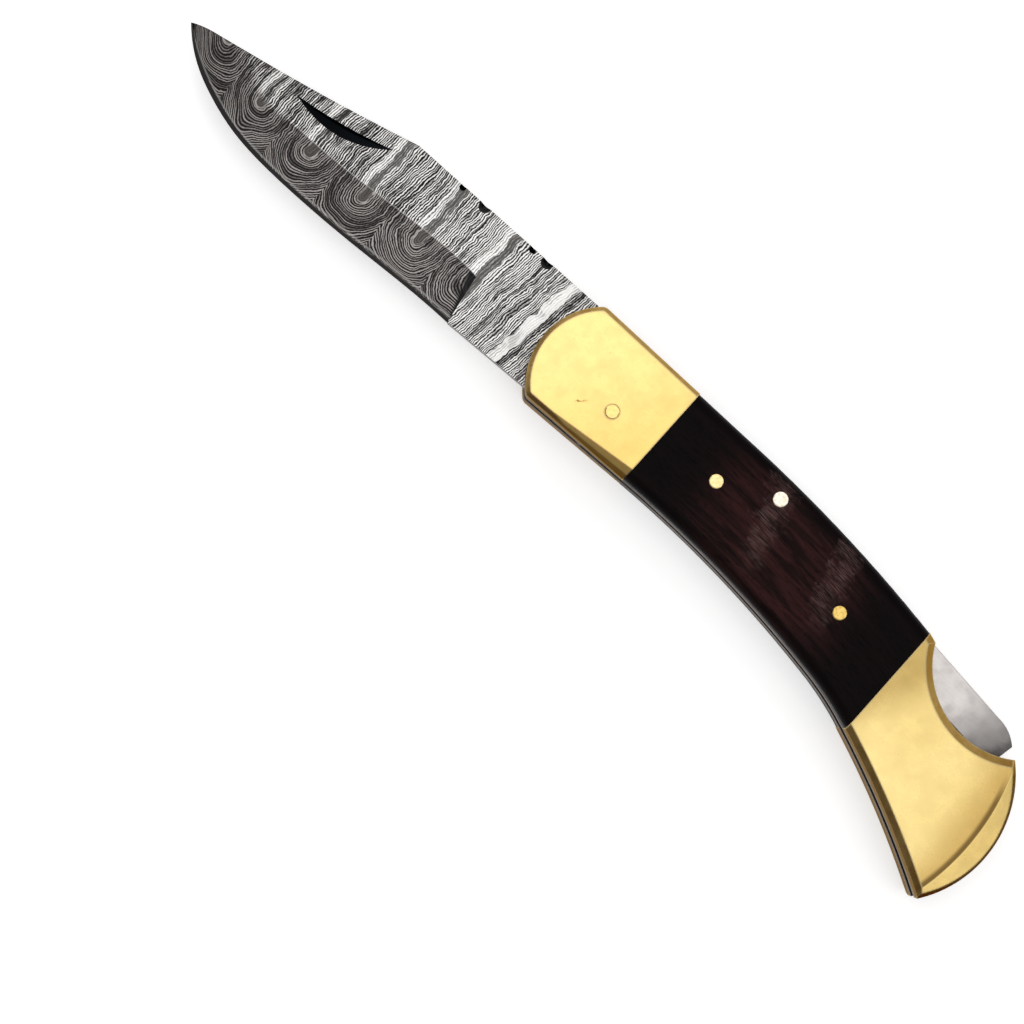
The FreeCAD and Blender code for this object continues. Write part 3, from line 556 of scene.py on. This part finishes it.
def front_brass():
    """Pale yellow brass with painted shading that deepens towards the scale and the belly, and one small
    scratch.
    """
    s = Shader("front_bolster_brass")
    point = s.millimetres()
    x, y, z = s.split(point)
    # Painted shading: pale towards the blade and the back, deep towards the scale and the belly.
    shade_drift = s.shift(x, s.sway(point, scale=0.12), FRONT_CLOUDS)
    shade_drift = s.shift(shade_drift, y, -FRONT_SHADE_DRIFT_SHARE)
    colour = s.tint(FRONT_PALE, FRONT_DEEP, s.spread(shade_drift, *FRONT_SHADE_DRIFT))
    # The scratch: a short crooked line ahead of the pivot, deepest at its front end.
    crook = s.shift(y, s.sway(point, scale=1.6), SCRATCH_CROOK)
    off_line = s.math("ABSOLUTE", s.minus(s.shift(crook, x, -SCRATCH_CLIMB_SHARE), SCRATCH_HEIGHT))
    scratch = s.product(s.spread(off_line, *SCRATCH_WIDTHS), s.within(x, SCRATCH_PLACES))
    scratch = s.product(scratch, s.on_face(z, FRONT_FACE))
    colour = s.tint(colour, FRONT_SCRATCH, scratch, most=0.85)
    return brass_surface(s, colour, FRONT_TARNISH_AND_SHADE)


def rear_brass():
    """Golden brass with brown painted shade at the neck and before the arc where the butt's bevel begins."""
    s = Shader("rear_bolster_brass")
    point = s.millimetres()
    x, y = s.split(point)[:2]
    clouds = s.sway(point, scale=0.1, detail=1.0)
    colour = s.tint(REAR_PALE, REAR_DEEP, s.spread(clouds, -0.25, 0.25))
    arc_middle = (BUTT_END - FACET_WIDTH - FACET_RADIUS, -FACET_DROP, 0)
    from_middle = s.vector_math("SUBTRACT", s.join(x, y, 0.0), arc_middle)["Vector"]
    past_arc = s.minus(s.length(from_middle), FACET_RADIUS)
    inside = s.spread(past_arc, *ARC_BLUR)
    # Painted shade before the arc, and a painted dark crease along it.
    dusk_shade = s.product(s.spread(s.shift(past_arc, clouds, DUSK_CLOUDS), *DUSK_REACH), inside)
    colour = s.tint(colour, REAR_DUSK_SHADE, dusk_shade, most=0.7)
    crease_shade = s.product(s.spread(past_arc, *CREASE_REACH), inside, s.spread(y, *CREASE_HEIGHTS))
    colour = s.tint(colour, REAR_CREASE_SHADE, crease_shade, most=0.85)
    # Painted shade at the neck beside the scale.
    neck_shade = s.spread(s.shift(x, y, -1 / NECK_CLIMB), *NECK_PLACES)
    colour = s.tint(colour, REAR_NECK_SHADE, neck_shade, most=0.7)
    colour = s.tint(colour, REAR_FACET, s.spread(past_arc, *FACET_BLUR), most=0.6)
    return brass_surface(s, colour, REAR_TARNISH_AND_SHADE)


def dark_wood():
    """Near-black oiled wood with fine pores along the grain, a painted red sheen in the middle and painted
    shade round it.
    """
    s = Shader("dark_wood")
    point = s.millimetres()
    x, y, z = s.split(point)
    # The grain follows the handle's drooping line.
    behind = s.math("MAXIMUM", s.minus(x, DROOP_START), 0.0)
    across = s.shift(y, s.product(behind, behind), DROOP_RATE)
    grain_point = s.join(x, across, z)
    growth_point = s.scaled(grain_point, GROWTH_STRETCH)
    growth = s.noise(growth_point, scale=0.7, detail=4.0, roughness=0.55, distortion=0.6)
    fibre_point = s.scaled(grain_point, FIBRE_STRETCH)
    fibres = s.noise(fibre_point, scale=1.5, detail=3.0, roughness=0.6)
    pore_point = s.scaled(fibre_point, PORE_STRETCH)
    pores = s.spread(s.noise(pore_point, scale=1.1, detail=1.0), 0.62, 0.7)
    colour = s.tint(WOOD_DARK, WOOD_RED, s.spread(growth, 0.36, 0.66))
    colour = s.tint(colour, WOOD_FIBRE, s.spread(fibres, 0.45, 0.8), most=0.35)
    # Painted shade at the ends and long edges, leaving a painted sheen on the red middle.
    middle = s.product(s.within(x, RED_PLACES), s.within(across, RED_HEIGHTS))
    colour = s.tint(colour, WOOD_ENDS_SHADE, s.spread(middle, 1.0, 0.0), most=0.93)
    colour = s.tint(colour, WOOD_PORE, pores, most=0.6)
    # Two painted gloss streaks: lighter patches along the grain that stand in for reflections.
    ragged = s.sway(point, scale=0.5, detail=4.0, roughness=0.65)
    streak_along = s.shift(s.shift(x, y, GLOSS_STREAK_LEAN_SHARE), ragged, GLOSS_STREAK_RAGGED)
    gloss_streak = s.math("MAXIMUM", *(s.within(streak_along, places) for places in GLOSS_STREAK_PLACES))
    gloss_streak = s.product(gloss_streak, s.spread(fibres, 0.42, 0.66, onto=(0.05, 1.0)), s.spread(y, *GLOSS_STREAK_HEIGHTS))
    colour = s.tint(colour, WOOD_GLOSS_STREAK, s.product(gloss_streak, s.on_face(z, SCALE_FACE)), most=0.75)
    roughness = s.shift(s.spread(fibres, 0.3, 0.7, onto=(0.3, 0.42)), pores, 0.2)
    height = s.minus(s.product(fibres, 0.4), pores)
    normal = s.bump(height, WOOD_RELIEF, strength=0.5)
    return s.finish(Base_Color=colour, Metallic=0.0, Roughness=roughness, Normal=normal,
                    Specular_IOR_Level=0.03)


def satin_surface(s, colour, shade):
    """Ground steel with fine lines along its length, dull smudges, and rubbed edges with a painted highlight.
    """
    point = s.millimetres()
    lines = s.noise(s.scaled(point, STEEL_STRETCH), scale=1.8, detail=3.0)
    smudge = s.noise(point, scale=0.35, detail=3.0, roughness=0.55)
    colour = s.tint(colour, shade, s.spread(smudge, 0.45, 0.75), most=0.15)
    colour = s.tint(colour, shade, s.spread(lines, 0.4, 0.8), most=0.25)
    # Edges lighter where rubbed, with a painted highlight along them.
    soft_normal, wear_and_highlight = s.rounded_edges(STEEL_EDGE)
    colour = s.tint(colour, STEEL_RUBBED_AND_HIGHLIGHT, wear_and_highlight, most=0.3)
    roughness = s.shift(s.spread(smudge, 0.35, 0.7, onto=(0.28, 0.4)), lines, 0.06)
    normal = s.bump(lines, STEEL_RELIEF, strength=0.3, normal=soft_normal)
    return s.finish(Base_Color=colour, Metallic=1.0, Roughness=roughness, Normal=normal,
                    Specular_Tint=STEEL_GRAZING)


def plain_steel(name, base, shade):
    """Steel of one colour, for the pieces inside."""
    return satin_surface(Shader(name), base, shade)


def bar_steel():
    """The lock bar: bright satin, darker along its length and smudged dark at its end."""
    s = Shader("lock_steel")
    point = s.millimetres()
    x, y = s.split(point)[:2]
    blotch = s.sway(point, scale=0.45, detail=3.0, roughness=0.6)
    along = s.shift(s.shift(x, y, -BAR_LEAN_SHARE), blotch, BAR_BLOTCH)
    from_end = s.minus(along, BAR_END)
    colour = s.tint(BAR_BRIGHT, BAR_DARKER, s.spread(from_end, *BAR_DARKER_REACH))
    colour = s.tint(colour, BAR_SMUDGE, s.spread(from_end, *BAR_SMUDGE_REACH), most=0.9)
    return satin_surface(s, colour, BAR_SHADE)


def liner_metal():
    """Nickel sheet: warm rubbed edges, dark at the front, and painted shade on its faces inside the channel.
    """
    s = Shader("liner_metal")
    x = s.split(s.millimetres())[0]
    edge = s.tint(LINER_FRONT, LINER_EDGE, s.spread(x, *LINER_PLACES))
    # Painted shade on the flat faces, which lie inside the channel.
    colour = s.tint(edge, LINER_FACE_SHADE, s.spread(s.levelness(), 0.5, 0.8))
    return satin_surface(s, colour, LINER_SHADE)


def pin_metal(name):
    """A polished pin end with a dark broken line round its rim."""
    base, shade, rim_strength = PIN_LOOKS[name]
    s = Shader(name)
    point = s.millimetres()
    centred = s.vector_math("SUBTRACT", s.place("Generated"), (0.5, 0.5, 0.5))["Vector"]
    radius = s.length(s.scaled(centred, (1, 1, 0)))
    mottle = s.noise(point, scale=1.7, detail=3.0, roughness=0.6)
    colour = s.tint(base, shade, s.spread(mottle, 0.4, 0.7), most=0.6)
    # The line is strongest towards the belly.
    aside = s.shift(s.noise(point, scale=1.0), s.split(centred)[1], -0.5)
    rim = s.product(s.spread(radius, *RIM_SHARES), s.spread(aside, 0.4, 0.6, onto=(0.1, 1.0)))
    colour = s.tint(colour, PIN_RIM, rim, most=rim_strength)
    roughness = s.spread(mottle, 0.3, 0.7, onto=(0.22, 0.32))
    normal = s.bump(s.product(rim, -1.0), PIN_RELIEF, strength=0.6)
    return s.finish(Base_Color=colour, Metallic=1.0, Roughness=roughness, Normal=normal)


# The pieces and their materials.

def paint(node_names, material):
    for name in node_names:
        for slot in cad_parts[name].material_slots:
            slot.material = material


def both(name):
    """The names of a piece's two copies, near and far."""
    return ["left_" + name, "right_" + name]


paint(["blade"], damascus_steel())
paint(both("front_bolster"), front_brass())
paint(both("rear_bolster") + ["upper_spacer_pin", "lower_spacer_pin", "spring_pin"], rear_brass())
paint(both("scale"), dark_wood())
paint(both("liner"), liner_metal())
paint(["lock_bar"], bar_steel())
paint(["rear_spacer"], plain_steel("spacer_steel", SPACER_BASE, SPACER_SHADE))
paint(["pivot_pin"], pin_metal("pivot_brass"))
paint(["rocker_pin"], pin_metal("rocker_pin_metal"))
paint(both("front_scale_pin"), pin_metal("pin_brass"))
paint(both("rear_scale_pin"), pin_metal("dull_pin_brass"))


def add_object(name, data):
    made = bpy.data.objects.new(name, data)
    bpy.context.collection.objects.link(made)
    return made


def make_spring():
    """The lock spring: the solid's own form, divided along the leaf."""
    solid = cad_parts["lock_spring"]
    low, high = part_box("lock_spring")
    work = bmesh.new()
    work.from_mesh(solid.data)
    bmesh.ops.remove_doubles(work, verts=work.verts, dist=SPRING_WELD)
    for step in range(1, SPRING_STEPS):
        cut = Vector((low.x + (high.x - low.x) * step / SPRING_STEPS, 0, 0))
        parts = work.verts[:] + work.edges[:] + work.faces[:]
        bmesh.ops.bisect_plane(work, geom=parts, plane_co=cut, plane_no=(1, 0, 0))
    mesh = bpy.data.meshes.new("bending_spring")
    work.to_mesh(mesh)
    work.free()
    mesh.materials.append(plain_steel("spring_steel", SPRING_BASE, SPRING_SHADE))
    spring = add_object("bending_spring", mesh)
    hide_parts("lock_spring")
    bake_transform(spring)


# Floor, surround, lights and camera.

def make_floor():
    """A white sheet that takes a soft shadow, and glows a little where it is seen or mirrored."""
    mesh = bpy.data.meshes.new("floor")
    sides = ((-1, -1), (1, -1), (1, 1), (-1, 1))
    corners = [(x * FLOOR_REACH, y * FLOOR_REACH, 0) for x, y in sides]
    mesh.from_pydata(corners, [], [(0, 1, 2, 3)])
    floor = add_object("floor", mesh)
    s = Shader("white_floor")
    matte = s.add("ShaderNodeBsdfDiffuse", {"Color": FLOOR_TONE}).outputs[0]
    glow = s.add("ShaderNodeEmission", {"Color": WHITE, "Strength": FLOOR_GLOW}).outputs[0]
    lit = s.add("ShaderNodeAddShader", {0: matte, 1: glow}).outputs[0]
    rays = s.add("ShaderNodeLightPath").outputs
    seen = s.math("ADD", rays["Is Camera Ray"], rays["Is Glossy Ray"], clamp=True)
    seen = s.math("ADD", seen, rays["Is Transmission Ray"], clamp=True)
    shader = s.add("ShaderNodeMixShader", {0: seen, 1: matte, 2: lit}).outputs[0]
    s.put(s.output.inputs["Surface"], shader)
    mesh.materials.append(s.material)


def make_world():
    """A pale surround, brighter overhead."""
    world = bpy.data.worlds.new("studio")
    bpy.context.scene.world = world
    world.use_nodes = True
    tree = world.node_tree
    background = tree.nodes["Background"]
    point = tree.nodes.new("ShaderNodeTexCoord")
    split = tree.nodes.new("ShaderNodeSeparateXYZ")
    tree.links.new(point.outputs["Generated"], split.inputs[0])
    ramp = tree.nodes.new("ShaderNodeValToRGB")
    for element, tone in zip(ramp.color_ramp.elements, (HORIZON_TONE, OVERHEAD_TONE)):
        element.color = (*tone, 1)
    tree.links.new(split.outputs["Z"], ramp.inputs[0])
    tree.links.new(ramp.outputs[0], background.inputs["Color"])
    background.inputs["Strength"].default_value = 1.0


def make_light(name, place, target, size, power):
    """A square light that faces its target."""
    data = bpy.data.lights.new(name, "AREA")
    data.shape = "SQUARE"
    data.size = size
    data.energy = power
    light = add_object(name, data)
    light.location = place
    direction = Vector(target) - Vector(place)
    light.rotation_euler = direction.to_track_quat("-Z", "Y").to_euler()


def make_camera():
    """Looks down from a little to the belly's side, with the pivot at its pixel in the photograph."""
    right = Vector((math.cos(HANDLE_SLOPE), math.sin(HANDLE_SLOPE), 0))
    up = Vector((-math.sin(HANDLE_SLOPE), math.cos(HANDLE_SLOPE), 0))
    half = IMAGE_PIXELS / 2
    middle = right * ((half - PIVOT_PIXEL[0]) / PIXELS_PER_METRE)
    middle -= up * ((half - PIVOT_PIXEL[1]) / PIXELS_PER_METRE)
    middle.z = TOP
    place = middle + Vector((0, -CAMERA_ASIDE, CAMERA_HEIGHT))
    sight = middle - place
    data = bpy.data.cameras.new("camera")
    data.sensor_width = SENSOR / MM
    pivot_depth = (Vector((0, 0, TOP)) - place).dot(sight.normalized())
    data.lens = data.sensor_width * pivot_depth * PIXELS_PER_METRE / IMAGE_PIXELS
    camera = add_object("camera", data)
    turn = Matrix((right, up, Vector((0, 0, 1)))).transposed()
    lean = Vector((0, 0, -1)).rotation_difference(sight).to_matrix()
    camera.matrix_world = Matrix.Translation(place) @ (lean @ turn).to_4x4()
    bpy.context.scene.camera = camera


make_spring()
make_floor()
make_world()
for light_name, light_values in LIGHTS.items():
    make_light(light_name, **light_values)
make_camera()
bpy.context.scene.view_settings.view_transform = "Standard"
